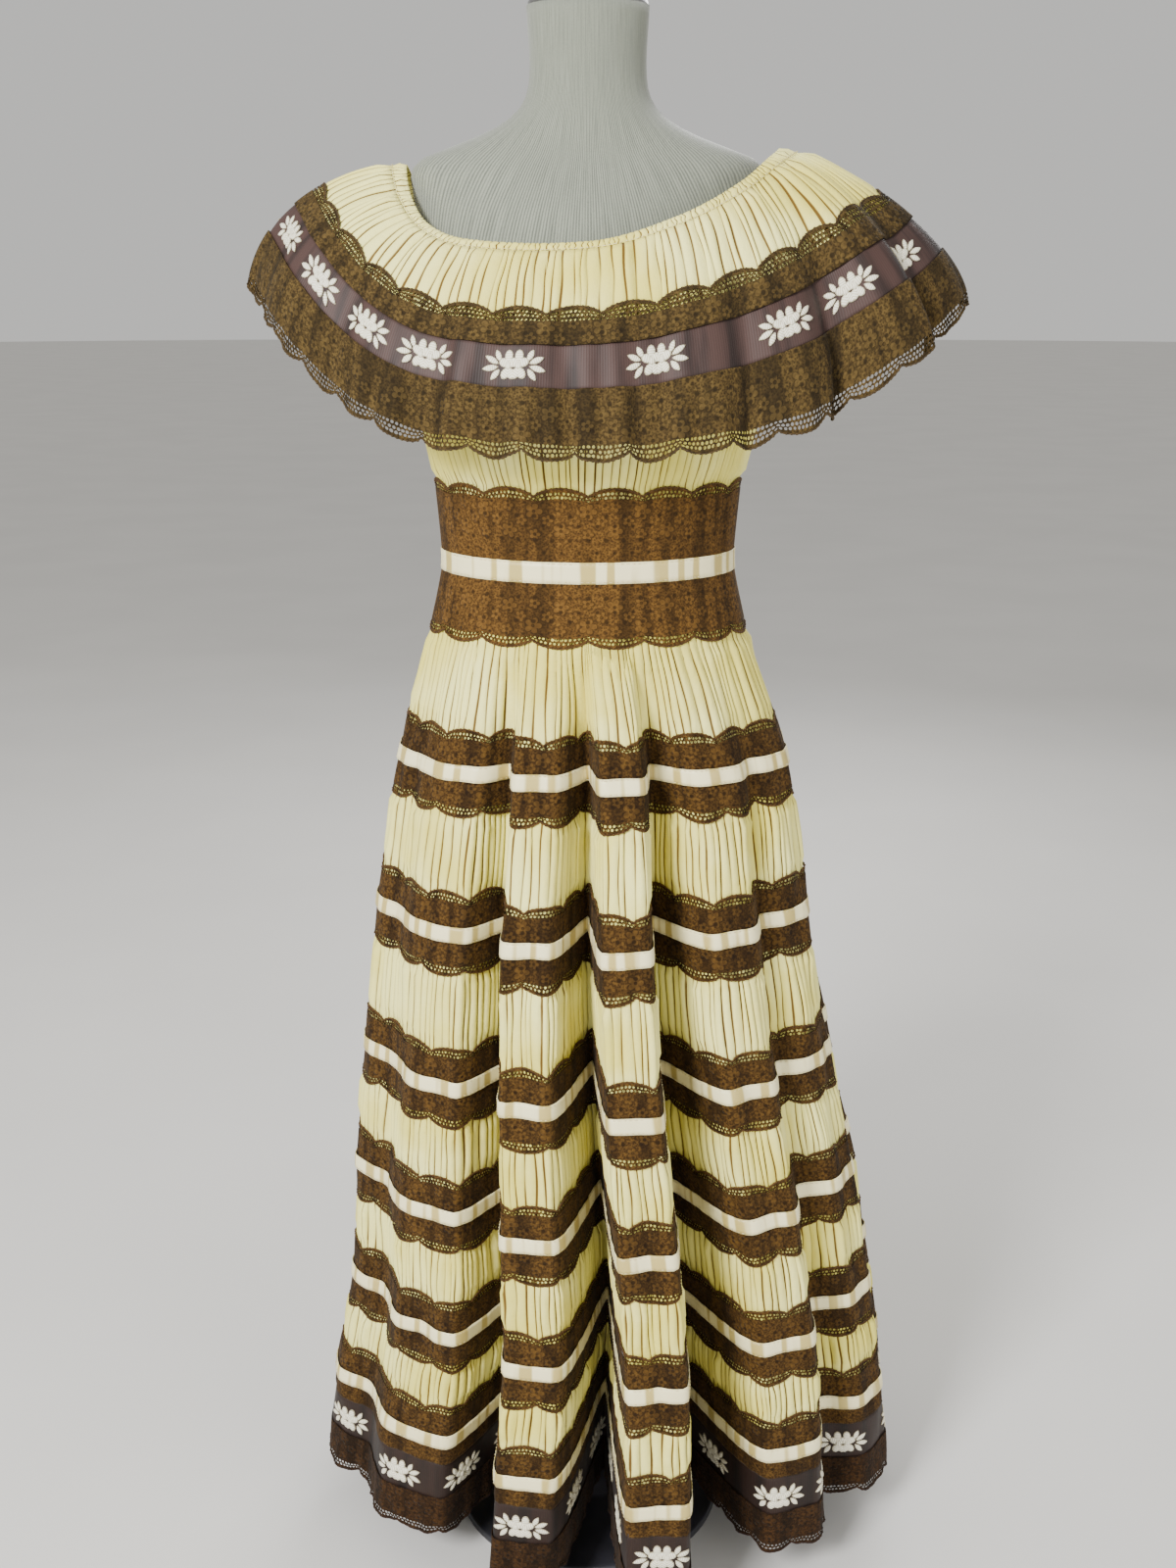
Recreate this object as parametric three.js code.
// A tiered off-shoulder dress worn by a limbless dressmaker's form on a pole and round base.
// Millimetres, +Z up, the front faces -Y, the origin is the middle of the base's underside.
// The dress is cream pin-tucked cotton in tiers, joined by rows of brown lace with a cream
// ribbon along each. A deep flounce with lace and a flowered ribbon falls from its neckline.
// Every cloth piece is a thin wall through rings of points, front middle first, turning to +X.
import * as THREE from "three";

const DEGREE = Math.PI / 180;

// Driving dimensions
const HEM_HEIGHT = 50;
const LACE_ABOVE_RIBBON = 40;
const LACE_BELOW_RIBBON = 40;
const LAST_LACE_BELOW_RIBBON = 26;
const HEM_RIBBON_WIDTH = 46;
const SKIRT_RIBBON_WIDTH = 15;
const WAIST_LACE_TOP = 1090;
const WAIST_RIBBON_TOP = 1026;
const WAIST_RIBBON_WIDTH = 19;
const WAIST_LACE_BOTTOM = 950;
const NECK_HALF_WIDTH = 160;
const NECK_SHIFT = 4;
const NECK_FRONT_DEPTH = 121;
const NECK_BACK_DEPTH = 108;
const UNDERARM_HEIGHT = 1200;

// Walls and seams
const CLOTH_THICKNESS = 1.6;
const LACE_THICKNESS = 1.4;
const RIBBON_THICKNESS = 1;
const RIBBON_LIFT = 0.6;
const CASING_THICKNESS = 3;
const SEAM_GAP = 0.3;
const SHARPEST_CORNER = 0.5;
const SCALLOP_DEPTH = 7;
const TUCK_HEIGHT = 1.5;
const GATHER_HEIGHT = 1.8;

// The skirt's sections, from its waist seam down to its hem. shift is how far the skirt swings to
// +X there, and fold is how far its folds reach.
const SKIRT_SECTIONS = [
  { height: 950, halfWidth: 146, front: 100, back: 100, shift: 0, fold: 2 },
  { height: 833, halfWidth: 179, front: 106, back: 126, shift: 7, fold: 27 },
  { height: 685, halfWidth: 201, front: 122, back: 146, shift: 7, fold: 48 },
  { height: 536, halfWidth: 221, front: 132, back: 156, shift: 12, fold: 62 },
  { height: 405, halfWidth: 241, front: 137, back: 163, shift: 21, fold: 73 },
  { height: 277, halfWidth: 254, front: 139, back: 168, shift: 28, fold: 88 },
  { height: 160, halfWidth: 272, front: 140, back: 174, shift: 27, fold: 100 },
  { height: 50, halfWidth: 284, front: 141, back: 178, shift: 26, fold: 104 },
];

// The heights of the ribbons' middles along the skirt's lace rows, from the top row down.
const ROW_HEIGHTS = [833, 685, 536, 405, 277, 160];

// The skirt's hanging folds, in degrees round it from the front middle. dip and lift are shares
// of the section's fold.
const SKIRT_FOLDS = [
  { valley: -66, dip: 0, crestFrom: -50, crestTo: -36, lift: 0.28 },
  { valley: -27, dip: 0.7, crestFrom: -21.5, crestTo: -12, lift: 0.65 },
  { valley: -2, dip: 0.95, crestFrom: 2, crestTo: 11.5, lift: 1 },
  { valley: 17, dip: 0.9, crestFrom: 31, crestTo: 41, lift: 0.42 },
  { valley: 51, dip: 0.1, crestFrom: 64, crestTo: 76, lift: 0.15 },
  { valley: 95, dip: 0.25, crestFrom: 108, crestTo: 117, lift: 0.35 },
  { valley: 134, dip: 0.5, crestFrom: 146, crestTo: 155, lift: 0.5 },
  { valley: 172, dip: 0.5, crestFrom: 184, crestTo: 193, lift: 0.55 },
  { valley: 211, dip: 0.45, crestFrom: 223, crestTo: 232, lift: 0.45 },
  { valley: 252, dip: 0.25, crestFrom: 264, crestTo: 276, lift: 0.2 },
];

// The waistband's sections, which the bodice stands on.
const WAIST_SECTIONS = [
  { height: 1090, halfWidth: 138, front: 106, back: 98 },
  { height: 1026, halfWidth: 133, front: 98, back: 96 },
  { height: 1007, halfWidth: 133.5, front: 97.5, back: 96 },
  { height: 950, halfWidth: 146, front: 100, back: 100 },
];
const WAIST_COLUMNS = 36;

// The neckline's height at angles round it, and how far the flounce reaches out and down from it
// there. curl is how long the cloth stays level before it falls, wave how deep its waves are.
const FLOUNCE_REACH = [
  { angle: -180, neck: 1305, out: 60, drop: 178, curl: 1.2, wave: 9 },
  { angle: -135, neck: 1312, out: 85, drop: 165, curl: 1.3, wave: 10 },
  { angle: -110, neck: 1334, out: 120, drop: 130, curl: 1.5, wave: 10 },
  { angle: -90, neck: 1355, out: 138, drop: 108, curl: 1.8, wave: 9 },
  { angle: -75, neck: 1330, out: 116, drop: 118, curl: 1.7, wave: 8 },
  { angle: -60, neck: 1306, out: 94, drop: 138, curl: 1.4, wave: 8 },
  { angle: -40, neck: 1292, out: 72, drop: 160, curl: 1.2, wave: 6 },
  { angle: 0, neck: 1290, out: 48, drop: 172, curl: 1.2, wave: 5 },
  { angle: 25, neck: 1309, out: 56, drop: 185, curl: 1.2, wave: 7 },
  { angle: 50, neck: 1338, out: 80, drop: 196, curl: 1.25, wave: 14 },
  { angle: 68, neck: 1359, out: 122, drop: 172, curl: 1.3, wave: 22 },
  { angle: 90, neck: 1367, out: 162, drop: 136, curl: 1.3, wave: 12 },
  { angle: 112, neck: 1346, out: 132, drop: 146, curl: 1.3, wave: 11 },
  { angle: 135, neck: 1318, out: 95, drop: 164, curl: 1.3, wave: 11 },
  { angle: 180, neck: 1305, out: 60, drop: 178, curl: 1.2, wave: 9 },
];

// The flounce's waves, in degrees round the neckline.
const FLOUNCE_WAVES = [
  { valley: -84, dip: 1, crestFrom: -75, crestTo: -69, lift: 1 },
  { valley: -60, dip: 0.7, crestFrom: -51, crestTo: -45, lift: 0.7 },
  { valley: -36, dip: 1, crestFrom: -31, crestTo: -26, lift: 0.6 },
  { valley: -22, dip: 1, crestFrom: -17, crestTo: -12, lift: 0.7 },
  { valley: -6, dip: 0.8, crestFrom: 1, crestTo: 6, lift: 0.7 },
  { valley: 14, dip: 0.9, crestFrom: 21, crestTo: 27, lift: 0.8 },
  { valley: 36, dip: 0.8, crestFrom: 43, crestTo: 49, lift: 0.8 },
  { valley: 58, dip: 1.2, crestFrom: 64, crestTo: 69, lift: 1 },
  { valley: 78, dip: 1, crestFrom: 87, crestTo: 93, lift: 0.8 },
  { valley: 104, dip: 1, crestFrom: 115, crestTo: 121, lift: 1 },
  { valley: 134, dip: 0.8, crestFrom: 145, crestTo: 151, lift: 0.9 },
  { valley: 164, dip: 1, crestFrom: 175, crestTo: 181, lift: 0.8 },
  { valley: 194, dip: 0.9, crestFrom: 205, crestTo: 211, lift: 1 },
  { valley: 224, dip: 1, crestFrom: 234, crestTo: 240, lift: 0.8 },
  { valley: 252, dip: 0.8, crestFrom: 260, crestTo: 267, lift: 0.9 },
];

// Where the flounce's pieces end, as shares of its length from the neckline.
const CASING_END = 0.06;
const FLOUNCE_CLOTH_MIDDLE = 0.22;
const FLOUNCE_CLOTH_END = 0.39;
const FLOUNCE_LACE_END = 0.52;
const FLOUNCE_RIBBON_END = 0.72;
const SCALLOP_SHARE = 0.05;
const UPPER_SCALLOP_SHARE = 0.03;
const FLOUNCE_STEP = 0.02;
const SEAM_SHARE = 0.002;
const OUTWARD_CURVE = 1.6;
const WAVE_CURVE = 1.3;

// The bodice's panels
const BODICE_COLUMNS = 22;
const BODICE_LEVELS = [0, 0.22, 0.55, 1];
const NECK_REACH_ANGLE = 52;
const BUST_BULGE = 24;
const BACK_BULGE = 8;
const BULGE_ANGLE = 108;
const TUCKED_IN = 2.3;
const TUCKED_UNDER = 2.9;
const SIDE_SEAM_ANGLE = 89.8;

// The form's sections, from the neck down. At the waist the waistband fits it closely.
const FORM_SECTIONS = [
  { height: 1480, halfWidth: 52, front: 42, back: 62 },
  { height: 1426, halfWidth: 50, front: 42, back: 60 },
  { height: 1402, halfWidth: 57, front: 45, back: 62 },
  { height: 1386, halfWidth: 76, front: 49, back: 65 },
  { height: 1372, halfWidth: 108, front: 53, back: 68 },
  { height: 1361, halfWidth: 140, front: 58, back: 71 },
  { height: 1350, halfWidth: 152, front: 66, back: 76 },
  { height: 1335, halfWidth: 152, front: 76, back: 83 },
  { height: 1310, halfWidth: 148, front: 92, back: 89 },
  { height: 1275, halfWidth: 144, front: 108, back: 93 },
  { height: 1235, halfWidth: 141, front: 120, back: 95 },
  { height: 1200, halfWidth: 139, front: 122, back: 95 },
  { height: 1160, halfWidth: 136, front: 114, back: 94 },
  { height: 1120, halfWidth: 134, front: 105, back: 93 },
  { height: 1090, halfWidth: 133, front: 100, back: 93 },
  { height: 1026, halfWidth: 131, front: 96, back: 94 },
  { height: 1007, halfWidth: 131.5, front: 95.5, back: 94 },
  { height: 950, halfWidth: 140, front: 94, back: 94 },
  { height: 905, halfWidth: 143, front: 86, back: 95 },
  { height: 855, halfWidth: 141, front: 72, back: 93 },
  { height: 812, halfWidth: 132, front: 62, back: 86 },
  { height: 790, halfWidth: 114, front: 50, back: 74 },
];
const FORM_COLUMNS = WAIST_COLUMNS;
const NECK_MIDDLE = 10;
const NECK_PLATE_THICKNESS = 5;
const NECK_PLATE_RADIUS = 51;

// The stand
const POLE_RADIUS = 12.5;
const BASE_RADIUS = 140;
const BASE_EDGE = 8;
const BASE_DISC_RADIUS = 52;
const BASE_DISC_HEIGHT = 20;
const BOSS_RADIUS = 32;
const BOSS_HEIGHT = 42;
const ROUND_SIDES = 40;

// Colours and finishes
const CREAM = new THREE.MeshStandardMaterial({ color: 0xe9dfbd, roughness: 0.85, metalness: 0 });
const BROWN_LACE = new THREE.MeshStandardMaterial({ color: 0x4d2f1c, roughness: 0.8, metalness: 0 });
const SATIN = new THREE.MeshStandardMaterial({ color: 0xf2ead0, roughness: 0.4, metalness: 0 });
const BROWN_RIBBON = new THREE.MeshStandardMaterial({ color: 0x54392f, roughness: 0.55, metalness: 0 });
const JERSEY = new THREE.MeshStandardMaterial({ color: 0x8d9088, roughness: 0.9, metalness: 0 });
const STEEL = new THREE.MeshStandardMaterial({ color: 0x9a9a9c, roughness: 0.35, metalness: 1 });
const IRON = new THREE.MeshStandardMaterial({ color: 0x2b2b2d, roughness: 0.5, metalness: 0.3 });

// A smooth curve through a table's rows: the value of one column at a place along another.
function columnAt(table, key, place, column) {
  const falling = table[0][key] > table[table.length - 1][key];
  const rows = falling ? [...table].reverse() : table;
  const last = rows.length - 1;
  if (place <= rows[0][key]) return rows[0][column];
  if (place >= rows[last][key]) return rows[last][column];
  const i = rows.findIndex((row) => row[key] >= place) - 1;
  const slope = (k) => {
    const low = rows[Math.max(k - 1, 0)];
    const high = rows[Math.min(k + 1, last)];
    return (high[column] - low[column]) / (high[key] - low[key]);
  };
  const span = rows[i + 1][key] - rows[i][key];
  const t = (place - rows[i][key]) / span;
  const a = (1 + 2 * t) * (1 - t) * (1 - t);
  const b = t * (1 - t) * (1 - t);
  const c = t * t * (3 - 2 * t);
  const d = t * t * (t - 1);
  return a * rows[i][column] + b * span * slope(i) + c * rows[i + 1][column] + d * span * slope(i + 1);
}

function smooth(t) {
  return t * t * (3 - 2 * t);
}

// How far a fold table lifts (+) or dips (-) the cloth at an angle, as a share.
function foldShare(folds, angle) {
  const first = folds[0].valley;
  const at = first + ((((angle - first) % 360) + 360) % 360);
  const i = folds.findLastIndex((fold) => fold.valley <= at);
  const fold = folds[i];
  const next = i + 1 < folds.length ? folds[i + 1] : { ...folds[0], valley: first + 360 };
  if (at < fold.crestFrom) {
    const t = (at - fold.valley) / (fold.crestFrom - fold.valley);
    return -fold.dip + (fold.lift + fold.dip) * smooth(t);
  }
  if (at <= fold.crestTo) return fold.lift;
  const t = (at - fold.crestTo) / (next.valley - fold.crestTo);
  return fold.lift - (fold.lift + next.dip) * smooth(t);
}

// The angles of a wall's columns: each fold's valley, both slopes' middles and its crest.
function foldAngles(folds, crestOf) {
  return folds.flatMap((fold, i) => {
    const nextValley = i + 1 < folds.length ? folds[i + 1].valley : folds[0].valley + 360;
    const crest = crestOf(fold);
    const rise = (fold.valley + crest[0]) / 2;
    const fall = (crest[crest.length - 1] + nextValley) / 2;
    return [fold.valley, rise, ...crest, fall];
  });
}

const SKIRT_ANGLES = foldAngles(SKIRT_FOLDS, (fold) => [fold.crestFrom, fold.crestTo]);
const FLOUNCE_ANGLES = foldAngles(FLOUNCE_WAVES, (fold) => [(fold.crestFrom + fold.crestTo) / 2]);
const WAIST_ANGLES = Array.from({ length: WAIST_COLUMNS }, (_, i) => (i * 360) / WAIST_COLUMNS);

// A point of an oval whose front and back depths differ, with its outward direction.
function ovalPoint(angle, halfWidth, front, back) {
  const s = Math.sin(angle * DEGREE);
  const c = Math.cos(angle * DEGREE);
  const depth = c > 0 ? front : back;
  const point = new THREE.Vector3(halfWidth * s, -depth * c, 0);
  const outward = new THREE.Vector3(depth * s, -halfWidth * c, 0).normalize();
  return { point, outward };
}

// A point of the skirt's surface.
function skirtPoint(angle, height) {
  const at = (column) => columnAt(SKIRT_SECTIONS, "height", height, column);
  const { point, outward } = ovalPoint(angle, at("halfWidth"), at("front"), at("back"));
  point.addScaledVector(outward, at("fold") * foldShare(SKIRT_FOLDS, angle));
  return point.add(new THREE.Vector3(at("shift"), 0, height));
}

function waistPoint(angle, height) {
  const at = (column) => columnAt(WAIST_SECTIONS, "height", height, column);
  return ovalPoint(angle, at("halfWidth"), at("front"), at("back")).point.setZ(height);
}

function flounceAt(angle, column) {
  return columnAt(FLOUNCE_REACH, "angle", angle > 180 ? angle - 360 : angle, column);
}

// A point of the elastic neckline, which rises over the shoulders.
function neckPoint(angle) {
  const { point, outward } = ovalPoint(angle, NECK_HALF_WIDTH, NECK_FRONT_DEPTH, NECK_BACK_DEPTH);
  point.x += NECK_SHIFT;
  point.z = flounceAt(angle, "neck");
  return { point, outward };
}

// A point of the flounce: share runs from 0 at the neckline to 1 at the lace's edge.
function flouncePoint(angle, share, lift = 0) {
  const { point } = neckPoint(angle);
  const away = new THREE.Vector3(Math.sin(angle * DEGREE), -Math.cos(angle * DEGREE), 0);
  const out = flounceAt(angle, "out");
  const drop = flounceAt(angle, "drop");
  const facing = away.clone().multiplyScalar(drop).setZ(out).normalize();
  point.addScaledVector(away, out * (1 - (1 - share) ** OUTWARD_CURVE));
  point.z -= drop * share ** flounceAt(angle, "curl");
  const wave = flounceAt(angle, "wave") * share ** WAVE_CURVE * foldShare(FLOUNCE_WAVES, angle);
  return point.addScaledVector(facing, wave + lift);
}

const STRAIGHT_DOWN = new THREE.Vector3(0, 0, -1);

// A ring of points moved out of the cloth by a distance, square to each side of the ring and to
// the way down the cloth at each point, which is straight down without `downs`.
function moved(ring, distance, { closed = true, downs = null } = {}) {
  const count = ring.length;
  return ring.map((point, i) => {
    const before = closed ? ring[(i + count - 1) % count] : ring[i - 1];
    const after = closed ? ring[(i + 1) % count] : ring[i + 1];
    const down = downs ? downs[i] : STRAIGHT_DOWN;
    const facing = (from, to) => down.clone().cross(to.clone().sub(from)).normalize();
    const first = facing(before ?? point, before ? point : after);
    const second = facing(after ? point : before, after ?? point);
    const stretch = 1 / Math.max(1 + first.dot(second), SHARPEST_CORNER);
    return point.clone().addScaledVector(first.add(second), distance * stretch);
  });
}

// A closed solid from a grid of triangles' corners.
function solidFrom(triangles) {
  const positions = new Float32Array(triangles.length * 9);
  triangles.forEach((corners, t) => corners.forEach((p, k) => p.toArray(positions, t * 9 + k * 3)));
  return new THREE.BufferGeometry().setAttribute("position", new THREE.BufferAttribute(positions, 3));
}

// A wall of cloth between its outer and inner faces, whose rings are listed from its top to its
// bottom. The outer face may have `split` times the inner face's columns, for tucks and scallops.
function wall(outer, inner, { split = 1, closed = true } = {}) {
  const triangles = [];
  const quad = (a, b, c, d) => triangles.push([a, b, c], [a, c, d]);
  const last = outer.length - 1;
  const outerCount = outer[0].length;
  const innerCount = inner[0].length;
  const outerSpans = closed ? outerCount : outerCount - 1;
  const innerSpans = closed ? innerCount : innerCount - 1;
  for (let j = 0; j < last; j++) {
    for (let i = 0; i < outerSpans; i++) {
      const k = (i + 1) % outerCount;
      quad(outer[j][i], outer[j + 1][i], outer[j + 1][k], outer[j][k]);
    }
    for (let i = 0; i < innerSpans; i++) {
      const k = (i + 1) % innerCount;
      quad(inner[j][i], inner[j][k], inner[j + 1][k], inner[j + 1][i]);
    }
  }
  const half = Math.ceil(split / 2);
  for (let i = 0; i < innerSpans; i++) {
    const k = (i + 1) % innerCount;
    const point = (ring, n) => ring[(i * split + n) % outerCount];
    for (let n = 0; n < split; n++) {
      const near = n < half ? i : k;
      triangles.push([inner[0][near], point(outer[0], n), point(outer[0], n + 1)]);
      triangles.push([inner[last][near], point(outer[last], n + 1), point(outer[last], n)]);
    }
    triangles.push([inner[0][i], point(outer[0], half), inner[0][k]]);
    triangles.push([inner[last][k], point(outer[last], half), inner[last][i]]);
  }
  if (!closed) {
    for (let j = 0; j < last; j++) {
      quad(inner[j][0], inner[j + 1][0], outer[j + 1][0], outer[j][0]);
      const [a, b] = [outerCount - 1, innerCount - 1];
      quad(outer[j][a], outer[j + 1][a], inner[j + 1][b], inner[j][b]);
    }
  }
  return solidFrom(triangles);
}

// A ring with a point midway between each two of its own, raised by a height: a tuck or a gather.
function tucked(ring, height, options = {}) {
  const raised = moved(ring, height, options);
  const { closed = true } = options;
  return ring.flatMap((point, i) => {
    const next = raised[i + 1] ?? (closed ? raised[0] : null);
    return next ? [point, raised[i].clone().lerp(next, 0.5)] : [point];
  });
}

const piece = new THREE.Group();

function add(name, geometry, material) {
  const mesh = new THREE.Mesh(geometry, material);
  mesh.name = name;
  piece.add(mesh);
}

// A ring of points at a height. Scallops are the lace's edge that way up: 1 for its upper edge,
// -1 for its lower one and 0 for a straight ring. Every other column is a scallop's middle.
function ringAt(angles, pointAt, { height, scallops = 0 }) {
  return angles.map((angle, i) => pointAt(angle, height - (i % 2 ? 0 : scallops * SCALLOP_DEPTH)));
}

// A wall between two faces this far out from the rings that stand at these edges.
function wallAt(angles, pointAt, edges, outerFace, innerFace) {
  const rings = edges.map((edge) => ringAt(angles, pointAt, edge));
  const face = (distance) => rings.map((ring) => moved(ring, distance));
  return wall(face(outerFace), face(innerFace));
}

function skirtWall(edges, outerFace, innerFace) {
  return wallAt(SKIRT_ANGLES, skirtPoint, edges, outerFace, innerFace);
}

// The same edge, a seam's gap further down.
function seamBelow({ height, scallops }) {
  return { height: height - SEAM_GAP, scallops };
}

// The tiers hang from one another. A row's ribbon is made from its lace's points, moved out.
function addSkirt() {
  let top = { height: WAIST_LACE_BOTTOM - SEAM_GAP };
  ROW_HEIGHTS.forEach((middle, i) => {
    const last = i + 1 === ROW_HEIGHTS.length;
    const laceTop = { height: middle + LACE_ABOVE_RIBBON, scallops: 1 };
    const laceBottom = last
      ? { height: middle - LAST_LACE_BELOW_RIBBON }
      : { height: middle - LACE_BELOW_RIBBON, scallops: -1 };
    const tierBottom = { height: laceTop.height + SEAM_GAP, scallops: 1 };
    const ribbon = [
      { height: middle + SKIRT_RIBBON_WIDTH / 2 },
      { height: middle - SKIRT_RIBBON_WIDTH / 2 },
    ];
    const lace = skirtWall([laceTop, ...ribbon, laceBottom], 0, -LACE_THICKNESS);
    const laid = skirtWall(ribbon, RIBBON_LIFT + RIBBON_THICKNESS, RIBBON_LIFT);
    add(`skirt_tier_${i + 1}`, skirtWall([top, tierBottom], 0, -CLOTH_THICKNESS), CREAM);
    add(`skirt_lace_${i + 1}`, lace, BROWN_LACE);
    add(`skirt_ribbon_${i + 1}`, laid, SATIN);
    top = seamBelow(laceBottom);
  });
  const ribbonBottom = { height: top.height - HEM_RIBBON_WIDTH };
  const hem = { height: HEM_HEIGHT, scallops: -1 };
  add("hem_flower_ribbon", skirtWall([top, ribbonBottom], 0, -LACE_THICKNESS), BROWN_RIBBON);
  add("hem_lace", skirtWall([seamBelow(ribbonBottom), hem], 0, -LACE_THICKNESS), BROWN_LACE);
}

// The bands fit the form closely: their inner faces are a seam's gap clear of it.
function addWaistband() {
  const band = (edges, outerFace) =>
    wallAt(WAIST_ANGLES, waistPoint, edges, outerFace, -LACE_THICKNESS);
  const top = { height: WAIST_LACE_TOP };
  const ribbonTop = { height: WAIST_RIBBON_TOP };
  const ribbonBottom = { height: WAIST_RIBBON_TOP - WAIST_RIBBON_WIDTH };
  const bottom = { height: WAIST_LACE_BOTTOM };
  const upperBottom = { height: WAIST_RIBBON_TOP + SEAM_GAP };
  add("waist_lace_upper", band([top, upperBottom], 0), BROWN_LACE);
  add("waist_ribbon", band([ribbonTop, ribbonBottom], RIBBON_LIFT), SATIN);
  add("waist_lace_lower", band([seamBelow(ribbonBottom), bottom], 0), BROWN_LACE);
}

// The bodice's front or back: it reaches the neckline at its middle and falls to the underarms.
function bodicePanel(middleAngle, bulge) {
  const angles = Array.from(
    { length: BODICE_COLUMNS + 1 },
    (_, i) => middleAngle + SIDE_SEAM_ANGLE * ((2 * i) / BODICE_COLUMNS - 1),
  );
  const levels = [...BODICE_LEVELS].reverse();
  const rings = levels.map((level) =>
    angles.map((angle) => {
      const bottom = waistPoint(angle, WAIST_LACE_TOP + SEAM_GAP);
      const { point: top, outward } = neckPoint(angle);
      top.addScaledVector(outward, -TUCKED_IN);
      const offMiddle = Math.abs(angle - middleAngle);
      const side = Math.max(0, (offMiddle - NECK_REACH_ANGLE) / (SIDE_SEAM_ANGLE - NECK_REACH_ANGLE));
      top.z = THREE.MathUtils.lerp(top.z - TUCKED_UNDER, UNDERARM_HEIGHT, smooth(side));
      const across = Math.cos((offMiddle / BULGE_ANGLE) * (Math.PI / 2));
      const up = 4 * level * (1 - level);
      return bottom.lerp(top, level).addScaledVector(outward, bulge * across * up);
    }),
  );
  const open = { closed: false };
  const outer = rings.map((ring, j) => tucked(ring, TUCK_HEIGHT * (1 - levels[j]), open));
  const inner = rings.map((ring) => moved(ring, -CLOTH_THICKNESS, open));
  return wall(outer, inner, { split: 2, closed: false });
}

// The way down the flounce at an angle and a share of its length.
function flounceDown(angle, share) {
  const from = Math.max(0, share - FLOUNCE_STEP);
  const to = Math.min(1, share + FLOUNCE_STEP);
  return flouncePoint(angle, to).sub(flouncePoint(angle, from)).normalize();
}

// How far a column's point is raised where the flounce's cloth meets the lace's scalloped edge.
function upperScallop(share, column) {
  const seam = Math.abs(share - FLOUNCE_CLOTH_END) < 2 * SEAM_SHARE;
  return seam && column % 2 ? UPPER_SCALLOP_SHARE : 0;
}

// A wall of the flounce through rings at these shares of its length. Gathers make it finer
// outside, and so do scallops, whose tips run straight on past the last ring.
function flounceWall(shares, thickness, { gather = null, scallop = false } = {}) {
  const rings = shares.map((share) =>
    FLOUNCE_ANGLES.map((angle, i) => flouncePoint(angle, share - upperScallop(share, i))),
  );
  const ways = shares.map((share) => FLOUNCE_ANGLES.map((angle) => flounceDown(angle, share)));
  const last = rings.length - 1;
  if (scallop) rings[last] = FLOUNCE_ANGLES.map((angle) => flouncePoint(angle, 1 - SCALLOP_SHARE));
  const inner = rings.map((ring, j) => moved(ring, -thickness, { downs: ways[j] }));
  if (!gather && !scallop) return wall(rings, inner);
  const outer = rings.map((ring, j) =>
    tucked(ring, gather ? gather(shares[j]) : 0, { downs: ways[j] }),
  );
  if (scallop) {
    const reach = (1 - shares[0]) / (1 - SCALLOP_SHARE - shares[0]);
    outer[last] = outer[last].map((point, i) =>
      i % 2 ? outer[0][i].clone().lerp(point, reach) : point,
    );
  }
  return wall(outer, inner, { split: 2 });
}

function addBodiceAndFlounce() {
  add("bodice_front", bodicePanel(0, BUST_BULGE), CREAM);
  add("bodice_back", bodicePanel(180, BACK_BULGE), CREAM);
  add("neck_casing", flounceWall([0, CASING_END - SEAM_SHARE], CASING_THICKNESS), CREAM);
  const gather = (share) => GATHER_HEIGHT * (1 - share / FLOUNCE_CLOTH_END);
  const clothShares = [CASING_END, FLOUNCE_CLOTH_MIDDLE, FLOUNCE_CLOTH_END - SEAM_SHARE];
  add("flounce_cloth", flounceWall(clothShares, CLOTH_THICKNESS, { gather }), CREAM);
  const laceShares = [FLOUNCE_CLOTH_END, FLOUNCE_LACE_END - SEAM_SHARE];
  add("flounce_lace_upper", flounceWall(laceShares, LACE_THICKNESS), BROWN_LACE);
  const ribbonShares = [FLOUNCE_LACE_END, FLOUNCE_RIBBON_END - SEAM_SHARE];
  add("flounce_flower_ribbon", flounceWall(ribbonShares, LACE_THICKNESS), BROWN_RIBBON);
  const edging = flounceWall([FLOUNCE_RIBBON_END, 1], LACE_THICKNESS, { scallop: true });
  add("flounce_lace_lower", edging, BROWN_LACE);
}

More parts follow.
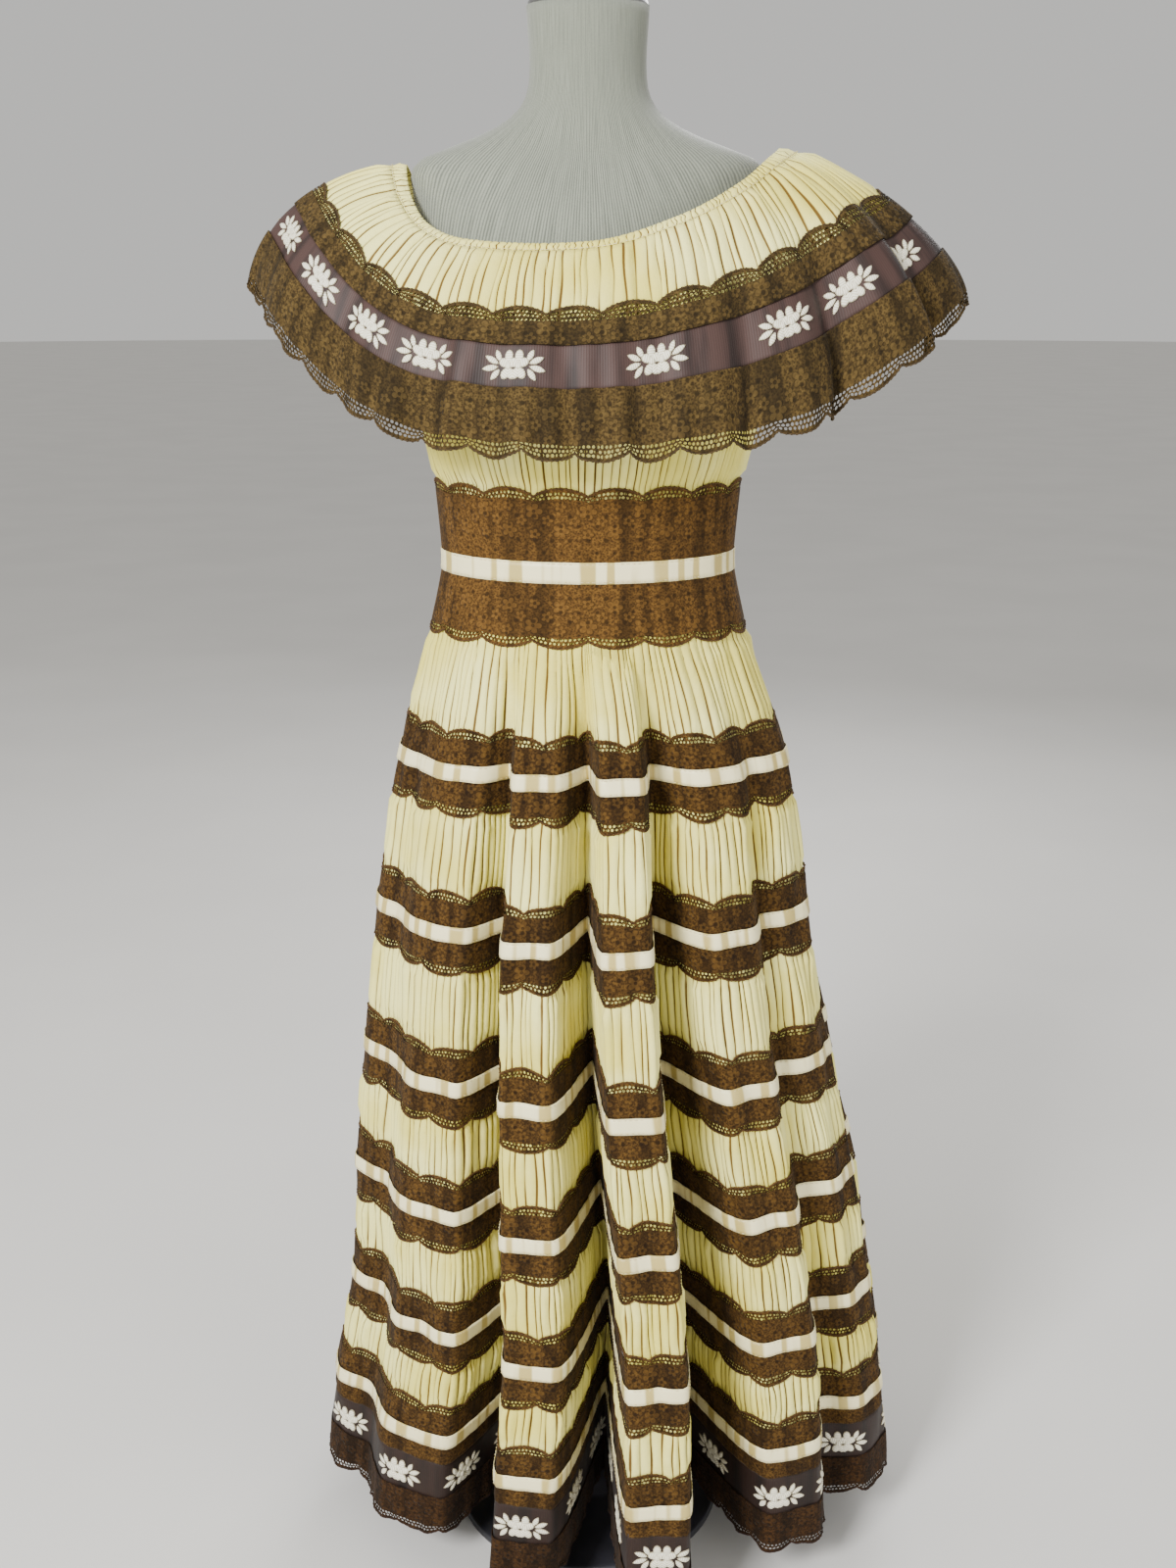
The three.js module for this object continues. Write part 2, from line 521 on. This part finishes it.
// The form is one smooth solid through its sections.
function formTorso() {
  const rings = FORM_SECTIONS.map(({ height, halfWidth, front, back }) =>
    Array.from({ length: FORM_COLUMNS }, (_, i) =>
      ovalPoint((i * 360) / FORM_COLUMNS, halfWidth, front, back).point.setZ(height),
    ),
  );
  const triangles = [];
  const last = rings.length - 1;
  const middleOf = (j) => new THREE.Vector3(0, 0, FORM_SECTIONS[j].height);
  for (let i = 0; i < FORM_COLUMNS; i++) {
    const k = (i + 1) % FORM_COLUMNS;
    for (let j = 0; j < last; j++) {
      triangles.push([rings[j][i], rings[j + 1][i], rings[j + 1][k]]);
      triangles.push([rings[j][i], rings[j + 1][k], rings[j][k]]);
    }
    triangles.push([middleOf(0), rings[0][i], rings[0][k]]);
    triangles.push([middleOf(last), rings[last][k], rings[last][i]]);
  }
  return solidFrom(triangles);
}

// A solid turned round the Z axis, from its outline's radii and heights.
function turned(outline) {
  const profile = outline.map(({ radius, height }) => new THREE.Vector2(radius, height));
  return new THREE.LatheGeometry(profile, ROUND_SIDES).rotateX(Math.PI / 2);
}

function addForm() {
  const [neck] = FORM_SECTIONS;
  const seat = FORM_SECTIONS[FORM_SECTIONS.length - 1];
  add("form_torso", formTorso(), JERSEY);
  const plateFoot = neck.height + SEAM_GAP;
  const plate = turned([
    { radius: 0, height: plateFoot },
    { radius: NECK_PLATE_RADIUS, height: plateFoot },
    { radius: NECK_PLATE_RADIUS, height: plateFoot + NECK_PLATE_THICKNESS },
    { radius: 0, height: plateFoot + NECK_PLATE_THICKNESS },
  ]).translate(0, NECK_MIDDLE, 0);
  add("form_neck_plate", plate, STEEL);
  const pole = turned([
    { radius: 0, height: BOSS_HEIGHT + SEAM_GAP },
    { radius: POLE_RADIUS, height: BOSS_HEIGHT + SEAM_GAP },
    { radius: POLE_RADIUS, height: seat.height - SEAM_GAP },
    { radius: 0, height: seat.height - SEAM_GAP },
  ]);
  add("stand_pole", pole, STEEL);
  const base = turned([
    { radius: 0, height: 0 },
    { radius: BASE_RADIUS, height: 0 },
    { radius: BASE_RADIUS, height: BASE_EDGE },
    { radius: BASE_DISC_RADIUS, height: BASE_DISC_HEIGHT },
    { radius: BOSS_RADIUS, height: BOSS_HEIGHT },
    { radius: 0, height: BOSS_HEIGHT },
  ]);
  add("stand_base", base, IRON);
}

addSkirt();
addWaistband();
addBodiceAndFlounce();
addForm();

export default piece;
